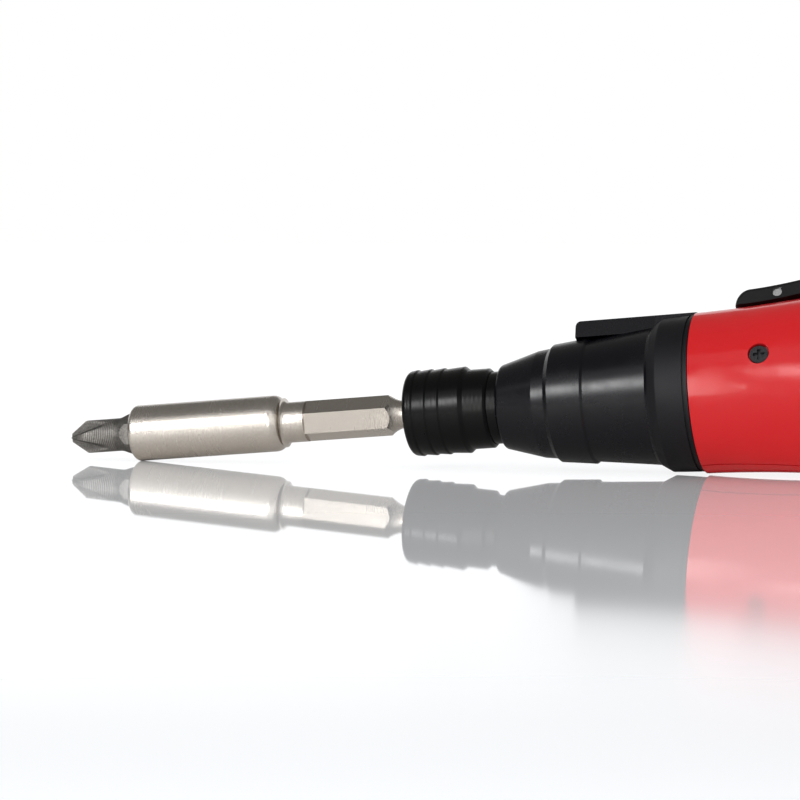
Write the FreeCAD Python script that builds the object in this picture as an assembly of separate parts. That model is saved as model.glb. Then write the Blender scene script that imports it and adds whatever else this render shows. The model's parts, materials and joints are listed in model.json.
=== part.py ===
import FreeCAD, Part
import math
import os
from FreeCAD import Matrix, Vector

# Cordless in-line screwdriver with a quick-change chuck, in millimetres and degrees.
# The tool is drawn along X: the bit points to -X, the handle to +X, the start lever is on +Z.
# X is zero where the black nose meets the red handle. The last step lays the tool on a bench.

# Clearances
slip = 0.05
run = 0.05
play = 0.3
over = 1.0
shown_gap = 0.2

# Hexagon drive, shared by bit, holder and spindle
hex_flats = 6.35
hex_gap = 0.06
shank_turn = 35.3
bit_turn = 27.8

# Driver bit
bit_length = 25.0
bit_reach = 12.6
bit_tip_radius = 0.75
bit_point_length = 3.2
bit_point_rounding = 0.8
bit_neck_radius = 3.0
bit_neck_length = 6.8
bit_flare_length = 1.6
bit_chamfer = 0.4
flute_count = 4
flute_length = 8.0
flute_tip_depth = 0.55
flute_tip_half_width = 0.12
flute_end_half_width = 0.45
flute_wall_angle = 50.0

# Bit holder
barrel_length = 28.97
barrel_radius = 5.08
barrel_rim = 0.9
barrel_shoulder = 2.0
neck_length = 4.3
neck_fillet = 0.8
shank_reach = 19.55
shank_insert = 11.5
shank_chamfer = 0.5
power_groove_lead = 0.8
power_groove_half = 3.3
power_groove_radius = 2.36
magnet_radius = 2.9
magnet_length = 3.0
holder_clip_set = 3.0
holder_clip_width = 0.7
holder_clip_wall = 0.45
ring_opening = 1.2

# Chuck sleeve
sleeve_length = 15.2
sleeve_radius = 7.69
sleeve_rim = 0.9
ridge_count = 3
first_ridge = 2.0
ridge_pitch = 2.45
ridge_depth = 0.24
ridge_drop = 0.3
rear_band_length = 4.1
rear_band_radius = 7.06
rear_band_step = 0.75
rear_band_chamfer = 0.5
sleeve_stroke = 1.5
land_lead = 0.85
land_length = 2.6
counterbore_radius = 6.2
chamber_radius = 6.5

# Chuck spring, balls and snap ring
chuck_wire = 0.6
chuck_turns = 5
ball_radius = 0.8
ball_set = 1.5
ball_count = 2
snap_ring_width = 0.4
snap_ring_wall = 0.9
snap_ring_depth = 0.4

# Output spindle and its clip
spindle_front_radius = 4.75
flange_radius = 6.4
flange_length = 4.2
journal_radius = 4.0
tang_flats = 5.0
spindle_clip_width = 0.6
spindle_clip_wall = 1.0
spindle_clip_depth = 0.5

# Nose, outside: distances in front of the joint, and radii
nose_length = 35.55
nose_front_radius = 7.35
nose_rim = 0.7
first_cone_end = 28.5
first_cone_radius = 9.42
first_collar_end = 26.3
first_collar_radius = 9.7
second_cone_start = 25.5
second_cone_front_radius = 10.38
second_cone_end = 19.5
second_cone_rear_radius = 11.05
third_cone_start = 19.05
third_cone_front_radius = 10.7
third_cone_end = 7.9
third_cone_rear_radius = 12.0
nose_ring_start = 5.8
nose_ring_front_radius = 13.35
nose_ring_rear_radius = 13.62
nose_ring_fillet = 0.5
nose_line_set = 0.75
nose_line_width = 0.35
nose_line_depth = 0.3
skirt_length = 17.4
skirt_wall = 0.95

# Front bush and ball bearing
bush_wall = 1.6
bush_length = 9.0
nose_lip = 1.0
nose_lip_gap = 0.5
bearing_outer_radius = 8.0
bearing_width = 5.0
bearing_set = 14.1
bearing_race_wall = 1.3
bearing_ball_radius = 1.19
bearing_ball_count = 7
bearing_ball_gap = 0.05
cage_wall = 0.6
cage_width = 3.2
nose_cavity_radius = 9.6

# Lamp pod on the nose
pod_radius = 14.08
pod_half_width = 6.6
pod_front = 21.6
pod_rim = 0.9
lens_half_width = 4.0
lens_height = 1.8
lens_set = 12.2
lens_depth = 2.0
lens_proud = 0.3
lamp_board_depth = 1.0
lamp_chip = 1.4
lamp_chip_depth = 0.6

# Planetary gearbox
gear_module = 0.44
pressure_angle = 25.0
sun_teeth = 9
planet_teeth = 18
ring_teeth = 45
planet_count = 3
addendum_share = 0.9
dedendum_share = 1.15
backlash = 0.07
flank_steps = 4
planet_width = 5.0
ring_gear_radius = 11.6
ring_seat = 1.0
carrier_thickness = 2.0
carrier_rim_gap = 0.35
planet_pin_radius = 1.25
carrier_hub_radius = 5.0
carrier_hub_length = 6.0
motor_plate_thickness = 2.0
motor_plate_radius = 13.0

# Motor
motor_radius = 12.2
motor_length = 30.8
can_wall = 0.9
can_front = 1.2
motor_boss_radius = 3.5
motor_boss_length = 1.4
motor_bush_radius = 2.4
motor_shaft_radius = 1.0
magnet_thickness = 2.2
magnet_half_angle = 65.0
air_gap = 0.4
core_length = 15.0
core_set = 6.6
core_slots = 5
core_slot_width = 2.4
core_slot_floor = 4.0
winding_overhang = 2.4
winding_gap = 0.1
winding_edge = 0.8
commutator_radius = 3.0
commutator_length = 3.2
commutator_set = 0.3
bell_thickness = 2.6
brush_width = 2.2
brush_depth = 1.8
brush_length = 3.4
brush_arm = 2.0
motor_screw_radius = 1.25
motor_screw_head = 2.2
motor_screw_circle = 8.0
motor_screw_length = 3.6

# Red handle, drawn by formula: radius of its six slightly hollow flats, with the corners further out
joint_radius = 13.95
front_slope = 0.02
belly_at = 72.0
belly_radius = 19.35
tail_at = 136.0
tail_radius = 15.8
tail_slope = 0.1
round_until = 8.0
hexagon_from = 42.0
corner_share = 0.1
hexagon_sides = 6
section_points = 24
section_pitch = 10.0
least_sections = 3
case_length = 118.0
case_wall = 1.8
seam_width = 0.3
seam_depth = 0.35

# Ribs and screw posts in the handle
rib_width = 1.8
front_motor_rib = 5.6
rear_motor_rib = 24.6
front_cell_rib = 10.0
rear_cell_rib = 40.0
post_radius = 2.9
front_post_at = 58.0
front_post_drop = 13.6
rear_post_at = 102.0
rear_post_drop = 13.3
rear_post_rise = 13.5
case_screw_radius = 1.2
case_screw_head_radius = 2.2
case_screw_head = 1.5
case_screw_seat = 6.0
case_screw_length = 12.0
screw_recess_gap = 0.3
screw_slot_width = 0.6
screw_slot_reach_share = 0.6
screw_slot_depth_share = 0.7
front_screw_at = 12.3
front_screw_drop = 0.75
front_screw_radius = 1.0
front_screw_head_radius = 1.6
front_screw_head = 0.8
front_screw_seat = 0.6
front_screw_stop = 0.35
front_recess_radius = 1.85
vent_count = 4
vent_first = 29.6
vent_pitch = 3.6
vent_width = 1.6
vent_half_height = 5.0

# Grip pads, as shares of the handle's length and belly radius
grip_depth = 1.2
grip_groove_depth = 0.55
grip_groove_width = 1.2
grip_groove_count = 9
grip_groove_margin = 9.0
grip_corner = 4.0
grip_x_shares = (0.39, 0.87, 0.93, 0.88, 0.44, 0.36)
grip_z_shares = (0.34, 0.30, -0.10, -0.52, -0.60, -0.16)

# Start lever, its pin and spring
lever_front = 6.2
lever_end = 76.0
lever_half_width = 4.8
lever_thickness = 3.0
lever_nose = 2.6
lever_lift = 0.15
lever_angle = 2.2
lever_spare_angle = 0.25
lever_edge = 0.8
lever_stations = 9
pivot_at = 13.6
pivot_rise = 1.5
lever_pin_radius = 0.8
lug_half_width = 2.0
lug_radius = 1.5
lug_gap = 0.25
peg_at = 62.0
peg_radius = 1.5
peg_gap = 0.6
lever_spring_at = 40.0
lever_spring_radius = 1.7
lever_wire = 0.4
lever_spring_turns = 3
spring_pocket_gap = 0.35
case_pocket = 0.9
lever_pocket = 1.6

# Cell, boards and switches
cell_radius = 9.2
cell_length = 65.0
cell_set = 7.0
cell_button_radius = 3.0
cell_button = 0.9
cell_edge = 0.8
board_gap = 0.7
board_thickness = 1.2
board_half_width = 8.0
board_set = 4.0
board_length = 42.0
chip_size = 5.0
chip_height = 1.6
capacitor_radius = 2.2
capacitor_height = 4.5
chip_set = 14.5
capacitor_set = 38.5
chip_side = 5.4
switch_length = 13.0
switch_half_width = 3.0
switch_top_gap = 1.4
plunger_radius = 1.3
plunger_proud = 0.7
plunger_depth = 3.2
slider_at = 84.0
slider_travel = 2.0
slider_half_length = 3.0
slider_half_width = 2.6
slider_cover = 0.8
slider_lift = 0.25
slider_cover_half_length = 6.6
slider_rib = 0.9
slider_rib_count = 3
slider_rib_pitch = 1.5
stem_half_length = 1.2
stem_half_width = 1.1
stem_depth = 2.0
direction_switch_half_length = 5.0
direction_switch_half_width = 3.2
direction_switch_height = 4.4
lead_radius = 0.6
lead_bend = 1.5
lead_side = 5.2
lead_height = 4.0
lead_turn = 2.2
lead_landing = 3.0

# End cap, charging socket and hanging tab
cap_wall = 2.0
cap_end_wall = 2.6
cap_rim = 2.4
spigot_length = 6.0
spigot_wall = 1.5
socket_half_width = 4.5
socket_half_height = 1.65
socket_depth = 7.2
socket_wall = 0.3
socket_floor = 1.0
socket_corner = 1.3
socket_rise = 5.0
tongue_half_width = 3.3
tongue_half_height = 0.35
tongue_set = 0.8
charge_board_thickness = 1.0
charge_board_half_width = 7.0
charge_board_length = 10.5
shelf_thickness = 1.5
shelf_length = 9.0
tab_half_width = 2.0
tab_reach = 8.0
tab_radius = 4.6
tab_hole_radius = 2.2
tab_drop = 6.0
tab_root = 2.0

# Rest pose on the bench
rest_roll = 30.0
rest_samples = 80

X = Vector(1, 0, 0)
Y = Vector(0, 1, 0)
Z = Vector(0, 0, 1)
ORIGIN = Vector(0, 0, 0)
full_turn = 360.0
tiny = 1e-6

# Positions along the axis, from the joint forwards
nose_front_x = -nose_length
chuck_gap = sleeve_stroke + play
sleeve_rear_x = nose_front_x - chuck_gap
sleeve_front_x = sleeve_rear_x - sleeve_length
neck_end_x = sleeve_front_x - shank_reach
barrel_rear_x = neck_end_x - neck_length
mouth_x = barrel_rear_x - barrel_length
bit_tip_x = mouth_x - bit_reach
bit_end_x = bit_tip_x + bit_length
shank_end_x = sleeve_front_x + shank_insert
flange_rear_x = nose_front_x - shown_gap
flange_front_x = flange_rear_x - flange_length
hex_corner = hex_flats / math.sqrt(3)
socket_flats = hex_flats + 2 * hex_gap

# Positions along the axis, from the joint backwards
plate_front_x = skirt_length
motor_face_x = plate_front_x + motor_plate_thickness
motor_rear_x = motor_face_x + motor_length
cell_front_x = motor_rear_x + cell_set
cell_rear_x = cell_front_x + cell_length
motor_rib_places = (motor_face_x + front_motor_rib, motor_face_x + rear_motor_rib)
cell_rib_places = (cell_front_x + front_cell_rib, cell_front_x + rear_cell_rib)
post_places = (
    (front_post_at, -front_post_drop),
    (rear_post_at, -rear_post_drop),
    (rear_post_at, rear_post_rise),
)
first_planet_rear_x = plate_front_x - play
first_planet_front_x = first_planet_rear_x - planet_width
first_carrier_rear_x = first_planet_front_x - play
first_carrier_front_x = first_carrier_rear_x - carrier_thickness
second_planet_rear_x = first_carrier_front_x - play
second_planet_front_x = second_planet_rear_x - planet_width
second_carrier_rear_x = second_planet_front_x - play
second_carrier_front_x = second_carrier_rear_x - carrier_thickness
hub_front_x = second_carrier_front_x - carrier_hub_length
bearing_front_x = -bearing_set
bearing_rear_x = bearing_front_x + bearing_width
bush_front_x = nose_front_x + nose_lip

# Gear sizes
planet_orbit = gear_module * (sun_teeth + planet_teeth) / 2
ring_pitch_radius = gear_module * ring_teeth / 2
ring_tip_radius = ring_pitch_radius - addendum_share * gear_module
carrier_radius = ring_tip_radius - carrier_rim_gap
skirt_inner_radius = ring_gear_radius + slip
skirt_radius = skirt_inner_radius + skirt_wall
collar_radius = skirt_radius + slip
board_bottom = cell_radius + board_gap
board_top = board_bottom + board_thickness
board_front_x = motor_rear_x + board_set
bush_radius = journal_radius + run + bush_wall


def outline(corners, lay):
    """Closed wire through corners (u, v) or (u, v, rounding), laid in space by lay(u, v)."""
    joins = []
    for index, corner in enumerate(corners):
        here = Vector(corner[0], corner[1], 0)
        rounding = corner[2] if len(corner) > 2 else 0
        if not rounding:
            joins.append((here, None, here))
            continue
        before = corners[index - 1]
        after = corners[(index + 1) % len(corners)]
        to_before = (Vector(before[0], before[1], 0) - here).normalize()
        to_after = (Vector(after[0], after[1], 0) - here).normalize()
        half = to_before.getAngle(to_after) / 2
        setback = rounding / math.tan(half)
        bisector = (to_before + to_after).normalize()
        middle = here + bisector * (rounding / math.sin(half) - rounding)
        joins.append((here + to_before * setback, middle, here + to_after * setback))
    edges = []
    for index, (start, middle, end) in enumerate(joins):
        if middle is not None:
            points = [lay(point.x, point.y) for point in (start, middle, end)]
            edges.append(Part.Arc(*points).toShape())
        following = joins[(index + 1) % len(joins)][0]
        if (following - end).Length > tiny:
            edges.append(Part.makeLine(lay(end.x, end.y), lay(following.x, following.y)))
    return Part.Wire(edges)


def turned(corners):
    """Solid of revolution about the tool axis from corners (x, radius, rounding)."""
    wire = outline(corners, lambda u, v: Vector(u, 0, v))
    return Part.Face(wire).revolve(ORIGIN, X, full_turn)


def slab(corners, low, high):
    """Side view (x, z) pushed across from y low to y high."""
    wire = outline(corners, lambda u, v: Vector(u, low, v))
    return Part.Face(wire).extrude(Vector(0, high - low, 0))


def bar(corners, start, end):
    """End view (y, z) pushed along from x start to x end."""
    wire = outline(corners, lambda u, v: Vector(start, u, v))
    return Part.Face(wire).extrude(Vector(end - start, 0, 0))


def rod(radius, start, end):
    return Part.makeCylinder(radius, end - start, Vector(start, 0, 0), X)


def tube(outer, inner, start, end):
    return rod(outer, start, end).cut(rod(inner, start - over, end + over))


def cross_rod(radius, x, z, low, high):
    return Part.makeCylinder(radius, high - low, Vector(x, low, z), Y)


def upright(radius, x, y, low, high):
    return Part.makeCylinder(radius, high - low, Vector(x, y, low), Z)


def block(start, end, left, right, low, high):
    return Part.makeBox(end - start, right - left, high - low, Vector(start, left, low))


def spun(shape, angle):
    """Copy of a shape turned about the tool axis."""
    copy = shape.copy()
    copy.rotate(ORIGIN, X, angle)
    return copy


def fused(shapes):
    return shapes[0].multiFuse(shapes[1:]).removeSplitter()


def polar(radius, angle, x):
    return Vector(x, radius * math.cos(angle), radius * math.sin(angle))


def hex_prism(flats, turned_by, start, end):
    radius = flats / math.sqrt(3)
    first = math.radians(turned_by + full_turn / 12)
    turn = math.radians(full_turn / 6)
    points = [polar(radius, first + turn * side, start) for side in range(6)]
    face = Part.Face(Part.makePolygon(points + points[:1]))
    return face.extrude(Vector(end - start, 0, 0))


def opened(ring, reach):
    """Cuts the gap of a spring clip."""
    box = ring.BoundBox
    gap = block(box.XMin - over, box.XMax + over, 0, reach + over, -ring_opening / 2, ring_opening / 2)
    return ring.cut(gap)


def coil(wire, radius, start, end, turns):
    """Open coil along the tool axis, drawn as quarter turns."""
    length = end - start - wire
    quarters = 4 * turns
    step = length / quarters
    quarter = math.radians(full_turn / 4)
    first = start + wire / 2
    edges = []
    for index in range(quarters):
        places = [index, index + 1 / 2, index + 1]
        points = [polar(radius, quarter * place, first + step * place) for place in places]
        edges.append(Part.Arc(*points).toShape())
    path = Part.Wire(edges)
    normal = edges[0].tangentAt(edges[0].FirstParameter)
    ring = Part.Wire(Part.makeCircle(wire / 2, polar(radius, 0, first), normal))
    print("least gap between turns", round(4 * step - wire, 2))
    return path.makePipeShell([ring], True, False)


# Bit and bit holder

def flute_section(x, floor, half_width):
    """Cross section of one flute of the bit, open to the outside."""
    high = 2 * bit_neck_radius
    top_half_width = half_width + (high - floor) * math.tan(math.radians(flute_wall_angle))
    points = [
        Vector(x, floor, -half_width),
        Vector(x, floor, half_width),
        Vector(x, high, top_half_width),
        Vector(x, high, -top_half_width),
    ]
    return Part.makePolygon(points + points[:1])


def make_driver_bit():
    point_end = bit_tip_x + bit_point_length
    neck_end = point_end + bit_neck_length
    hex_start = neck_end + bit_flare_length
    body = turned([
        (bit_tip_x, 0),
        (bit_tip_x, bit_tip_radius),
        (point_end, bit_neck_radius, bit_point_rounding),
        (neck_end, bit_neck_radius, bit_neck_radius),
        (hex_start, hex_corner),
        (bit_end_x - bit_chamfer, hex_corner),
        (bit_end_x, hex_corner - bit_chamfer),
        (bit_end_x, 0),
    ])
    body = body.common(hex_prism(hex_flats, bit_turn, bit_tip_x - over, bit_end_x + over))
    flute = Part.makeLoft([
        flute_section(bit_tip_x - slip, bit_tip_radius - flute_tip_depth, flute_tip_half_width),
        flute_section(bit_tip_x + flute_length, bit_neck_radius + slip, flute_end_half_width),
    ], True, True)
    flute_angle = full_turn / flute_count
    first_angle = bit_turn + flute_angle / 2
    return body.cut([spun(flute, first_angle + flute_angle * index) for index in range(flute_count)])


def make_bit_holder():
    head = turned([
        (mouth_x, 0),
        (mouth_x, barrel_radius, barrel_rim),
        (barrel_rear_x, barrel_radius, barrel_shoulder),
        (barrel_rear_x, hex_corner, neck_fillet),
        (neck_end_x, hex_corner),
        (neck_end_x, 0),
    ])
    shank = turned([
        (barrel_rear_x, 0),
        (barrel_rear_x, hex_corner),
        (shank_end_x - shank_chamfer, hex_corner),
        (shank_end_x, hex_corner - shank_chamfer),
        (shank_end_x, 0),
    ])
    shank = shank.common(hex_prism(hex_flats, shank_turn, barrel_rear_x, shank_end_x))
    groove_x = sleeve_front_x - power_groove_lead
    left = Vector(groove_x - power_groove_half, 0, hex_corner)
    floor = Vector(groove_x, 0, power_groove_radius)
    right = Vector(groove_x + power_groove_half, 0, hex_corner)
    lift = Vector(0, 0, over)
    edges = [
        Part.Arc(left, floor, right).toShape(),
        Part.makeLine(right, right + lift),
        Part.makeLine(right + lift, left + lift),
        Part.makeLine(left + lift, left),
    ]
    groove = Part.Face(Part.Wire(edges)).revolve(ORIGIN, X, full_turn)
    body = head.fuse(shank.cut(groove)).removeSplitter()
    body = body.cut(hex_prism(socket_flats, bit_turn, mouth_x - over, bit_end_x + slip))
    body = body.cut(rod(magnet_radius + slip, bit_end_x, bit_end_x + 2 * slip + magnet_length))
    clip_x = mouth_x + holder_clip_set
    groove_radius = hex_corner + 2 * slip + holder_clip_wall
    return body.cut(rod(groove_radius, clip_x - slip, clip_x + holder_clip_width + slip))


def make_holder_magnet():
    return rod(magnet_radius, bit_end_x + slip, bit_end_x + slip + magnet_length)


def make_holder_clip():
    clip_x = mouth_x + holder_clip_set
    inner = hex_corner + slip
    outer = inner + holder_clip_wall
    return opened(tube(outer, inner, clip_x, clip_x + holder_clip_width), outer)


# Quick-change chuck

def make_chuck_sleeve():
    ridge_floor = sleeve_radius - ridge_depth
    corners = [(sleeve_front_x, counterbore_radius), (sleeve_front_x, ridge_floor, sleeve_rim)]
    for index in range(ridge_count):
        crest_x = sleeve_front_x + first_ridge + ridge_pitch * index - ridge_drop
        corners.append((crest_x, sleeve_radius))
        corners.append((crest_x + ridge_drop, ridge_floor))
    step_x = sleeve_rear_x - rear_band_length
    corners += [
        (step_x - rear_band_step, sleeve_radius),
        (step_x, rear_band_radius),
        (sleeve_rear_x - rear_band_chamfer, rear_band_radius),
        (sleeve_rear_x, rear_band_radius - rear_band_chamfer),
        (sleeve_rear_x, chamber_radius),
        (sleeve_front_x + land_lead + land_length, chamber_radius),
        (sleeve_front_x + land_lead + land_length, land_radius()),
        (sleeve_front_x + land_lead, land_radius()),
        (sleeve_front_x + land_lead, counterbore_radius),
    ]
    return turned(corners)


def make_chuck_spring():
    radius = (spindle_front_radius + chamber_radius) / 2
    start = sleeve_front_x + land_lead + land_length + slip
    return coil(chuck_wire, radius, start, flange_front_x - slip, chuck_turns)


def ball_orbit():
    offset = ball_set + power_groove_lead
    sagitta = hex_corner - power_groove_radius
    bend = (power_groove_half ** 2 + sagitta ** 2) / (2 * sagitta)
    centre = power_groove_radius + bend
    return centre - math.sqrt((bend - ball_radius - slip) ** 2 - offset ** 2)


def land_radius():
    """Bore of the sleeve's land, which holds the balls in the shank's groove."""
    return max(spindle_front_radius, ball_orbit() + ball_radius) + run


def make_locking_balls():
    balls = []
    for index in range(ball_count):
        angle = math.radians(shank_turn + full_turn * index / ball_count)
        place = polar(ball_orbit(), angle, sleeve_front_x + ball_set)
        balls.append(Part.makeSphere(ball_radius, place))
    return Part.makeCompound(balls)


def make_chuck_snap_ring():
    end = sleeve_front_x + land_lead - slip
    start = end - snap_ring_width
    inner = spindle_front_radius - snap_ring_depth + slip
    outer = spindle_front_radius + snap_ring_wall
    return opened(tube(outer, inner, start, end), outer)


# Output spindle

def make_output_spindle():
    clip_front = bearing_rear_x + slip
    clip_rear = clip_front + spindle_clip_width
    tang_front = clip_rear + spindle_clip_width
    body = turned([
        (sleeve_front_x, 0),
        (sleeve_front_x, spindle_front_radius),
        (flange_front_x, spindle_front_radius),
        (flange_front_x, flange_radius),
        (flange_rear_x, flange_radius),
        (flange_rear_x, journal_radius),
        (tang_front, journal_radius),
        (tang_front, 0),
    ])
    tang = hex_prism(tang_flats, shank_turn, tang_front - over, second_carrier_rear_x)
    body = body.fuse(tang).removeSplitter()
    body = body.cut(hex_prism(socket_flats, shank_turn, sleeve_front_x - over, shank_end_x + slip))
    ring_end = sleeve_front_x + land_lead
    ring_start = ring_end - snap_ring_width - 2 * slip
    ring_inner = spindle_front_radius - snap_ring_depth
    body = body.cut(tube(spindle_front_radius + over, ring_inner, ring_start, ring_end))
    clip_inner = journal_radius - spindle_clip_depth
    body = body.cut(tube(journal_radius + over, clip_inner, clip_front - slip, clip_rear + slip))
    for index in range(ball_count):
        angle = math.radians(shank_turn + full_turn * index / ball_count)
        foot = polar(0, angle, sleeve_front_x + ball_set)
        way = polar(1, angle, 0)
        hole = Part.makeCylinder(ball_radius + slip, spindle_front_radius + over, foot, way)
        body = body.cut(hole)
    return body


def make_spindle_clip():
    start = bearing_rear_x + slip
    inner = journal_radius - spindle_clip_depth + slip
    outer = journal_radius + spindle_clip_wall
    return opened(tube(outer, inner, start, start + spindle_clip_width), outer)


def make_front_bush():
    return tube(bush_radius, journal_radius + run, bush_front_x + slip, bush_front_x + bush_length)


# Nose with its lamp pod

def pod_box(front, rear, half_width, low, high):
    return block(front, rear, -half_width, half_width, low, high)


def make_nose_cone():
    outside = turned([
        (nose_front_x, 0),
        (nose_front_x, nose_front_radius, nose_rim),
        (-first_cone_end, first_cone_radius),
        (-first_collar_end, first_collar_radius),
        (-second_cone_start, second_cone_front_radius),
        (-second_cone_end, second_cone_rear_radius),
        (-third_cone_start, third_cone_front_radius),
        (-third_cone_end, third_cone_rear_radius),
        (-nose_ring_start, nose_ring_front_radius, nose_ring_fillet),
        (-shown_gap, nose_ring_rear_radius),
        (-shown_gap, skirt_radius),
        (skirt_length - slip, skirt_radius),
        (skirt_length - slip, 0),
    ])
    line_x = -nose_line_set
    line = tube(pod_radius, nose_ring_rear_radius - nose_line_depth, line_x - nose_line_width, line_x)
    outside = outside.cut(line)
    pod = turned([
        (-pod_front, 0),
        (-pod_front, pod_radius, pod_rim),
        (-shown_gap, pod_radius),
        (-shown_gap, 0),
    ])
    pod_floor = bearing_outer_radius + bearing_race_wall
    pod = pod.common(pod_box(-pod_front, 0, pod_half_width, pod_floor, pod_radius))
    body = outside.fuse(pod).removeSplitter()
    body = body.cut(turned([
        (nose_front_x - over, 0),
        (nose_front_x - over, journal_radius + nose_lip_gap),
        (bush_front_x, journal_radius + nose_lip_gap),
        (bush_front_x, bush_radius + slip),
        (bearing_front_x, bush_radius + slip),
        (bearing_front_x, bearing_outer_radius + slip),
        (bearing_rear_x, bearing_outer_radius + slip),
        (bearing_rear_x, nose_cavity_radius),
        (ring_seat, nose_cavity_radius),
        (ring_seat, skirt_inner_radius),
        (skirt_length + over, skirt_inner_radius),
        (skirt_length + over, 0),
    ]))
    lamp_rear = -pod_front + lens_depth + lamp_chip_depth + lamp_board_depth + 2 * slip
    pocket = pod_box(-pod_front - over, lamp_rear, lens_half_width + slip,
                     lens_set - lens_height / 2 - slip, lens_set + lens_height / 2 + slip)
    body = body.cut(pocket)
    for side in (-1, 1):
        body = body.cut(front_screw_hole(side, front_screw_radius + slip))
    return body


def front_screw_hole(side, radius):
    reach = side * (joint_radius + belly_radius)
    return cross_rod(radius, front_screw_at, -front_screw_drop, min(0, reach), max(0, reach))


def make_lamp_lens():
    start = -pod_front - lens_proud
    return pod_box(start, start + lens_proud + lens_depth, lens_half_width,
                   lens_set - lens_height / 2, lens_set + lens_height / 2)


def make_lamp_board():
    start = -pod_front + lens_depth + slip + lamp_chip_depth
    board = pod_box(start, start + lamp_board_depth, lens_half_width,
                    lens_set - lens_height / 2, lens_set + lens_height / 2)
    chip = pod_box(start - lamp_chip_depth, start, lamp_chip / 2,
                   lens_set - lamp_chip / 2, lens_set + lamp_chip / 2)
    return board.fuse(chip)


# Ball bearing

def bearing_pitch_radius():
    return (journal_radius + run + bearing_outer_radius) / 2


def bearing_track():
    centre = Vector((bearing_front_x + bearing_rear_x) / 2, 0, 0)
    return Part.makeTorus(bearing_pitch_radius(), bearing_ball_radius + bearing_ball_gap, centre, X)


def make_bearing_outer_race():
    inner = bearing_outer_radius - bearing_race_wall
    race = tube(bearing_outer_radius, inner, bearing_front_x + slip, bearing_rear_x - slip)
    return race.cut(bearing_track())


def make_bearing_inner_race():
    inner = journal_radius + slip
    outer = inner + bearing_race_wall
    return tube(outer, inner, bearing_front_x + slip, bearing_rear_x - slip).cut(bearing_track())


def bearing_spheres(radius):
    middle = (bearing_front_x + bearing_rear_x) / 2
    turn = math.radians(full_turn / bearing_ball_count)
    return [Part.makeSphere(radius, polar(bearing_pitch_radius(), turn * index, middle))
            for index in range(bearing_ball_count)]


def make_bearing_balls():
    return Part.makeCompound(bearing_spheres(bearing_ball_radius))


def make_bearing_cage():
    middle = (bearing_front_x + bearing_rear_x) / 2
    pitch = bearing_pitch_radius()
    wall = cage_wall / 2
    half = cage_width / 2
    ring = tube(pitch + wall, pitch - wall, middle - half, middle + half)
    return ring.cut(Part.makeCompound(bearing_spheres(bearing_ball_radius + bearing_ball_gap)))


# Gears

def involute(angle):
    return math.tan(angle) - angle


def gear_prism(teeth, root, tip, thickness, turn, start, end):
    """Straight gear with a tooth centred on the angle turn."""
    pitch_radius = gear_module * teeth / 2
    pressure = math.radians(pressure_angle)
    base = pitch_radius * math.cos(pressure)
    half_pitch = thickness / (2 * pitch_radius)
    low = max(root, base)
    flank = []
    for step in range(flank_steps + 1):
        radius = low + (tip - low) * step / flank_steps
        roll = math.acos(min(1, base / radius))
        flank.append((radius, half_pitch + involute(pressure) - involute(roll)))
    if root < low:
        flank.insert(0, (root, flank[0][1]))
    points = []
    for tooth in range(teeth):
        centre = math.radians(turn + full_turn * tooth / teeth)
        points += [polar(radius, centre - angle, start) for radius, angle in flank]
        points += [polar(radius, centre + angle, start) for radius, angle in reversed(flank)]
    face = Part.Face(Part.makePolygon(points + points[:1]))
    return face.extrude(Vector(end - start, 0, 0))


def outer_gear(teeth, turn, start, end):
    pitch_radius = gear_module * teeth / 2
    thickness = math.pi * gear_module / 2 - backlash
    root = pitch_radius - dedendum_share * gear_module
    tip = pitch_radius + addendum_share * gear_module
    return gear_prism(teeth, root, tip, thickness, turn, start, end)


def make_ring_gear():
    start = ring_seat + slip
    end = plate_front_x - slip
    root = ring_pitch_radius + dedendum_share * gear_module
    thickness = math.pi * gear_module / 2 + backlash
    turn = full_turn / ring_teeth / 2
    space = gear_prism(ring_teeth, ring_tip_radius, root, thickness, turn, start - over, end + over)
    body = rod(ring_gear_radius, start, end).cut(space)
    tip = ring_gear_radius - front_screw_radius + front_screw_stop - slip
    for side in (-1, 1):
        hole = front_screw_hole(side, front_screw_radius + slip)
        body = body.cut(hole.cut(rod(tip, front_screw_at - belly_radius, front_screw_at + belly_radius)))
    return body


def planet_place(index):
    return polar(planet_orbit, math.radians(full_turn * index / planet_count), 0)


def make_planet(index, start, end):
    around = full_turn * index / planet_count
    gear = outer_gear(planet_teeth, around + full_turn / planet_teeth / 2, start, end)
    gear = gear.cut(rod(planet_pin_radius + run, start - over, end + over))
    gear.translate(planet_place(index))
    return gear


def make_carrier_pins(front, rear):
    pins = []
    for index in range(planet_count):
        pin = rod(planet_pin_radius, front, rear)
        pin.translate(planet_place(index))
        pins.append(pin)
    return Part.makeCompound(pins)


def drilled_carrier(body, front, rear):
    for index in range(planet_count):
        hole = rod(planet_pin_radius + slip, front - over, rear + over)
        hole.translate(planet_place(index))
        body = body.cut(hole)
    return body


def make_carrier_1():
    plate = rod(carrier_radius, first_carrier_front_x, first_carrier_rear_x)
    sun = outer_gear(sun_teeth, 0, second_planet_front_x, first_carrier_front_x + slip)
    body = plate.fuse(sun).removeSplitter()
    return drilled_carrier(body, first_carrier_front_x + slip, first_carrier_rear_x)


def make_carrier_2():
    plate = rod(carrier_radius, second_carrier_front_x, second_carrier_rear_x)
    hub = rod(carrier_hub_radius, hub_front_x, second_carrier_front_x + slip)
    body = plate.fuse(hub).removeSplitter()
    hole = hex_prism(tang_flats + 2 * slip, shank_turn, hub_front_x - over, second_carrier_rear_x + over)
    body = body.cut(hole)
    return drilled_carrier(body, second_carrier_front_x, second_carrier_rear_x)


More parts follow.
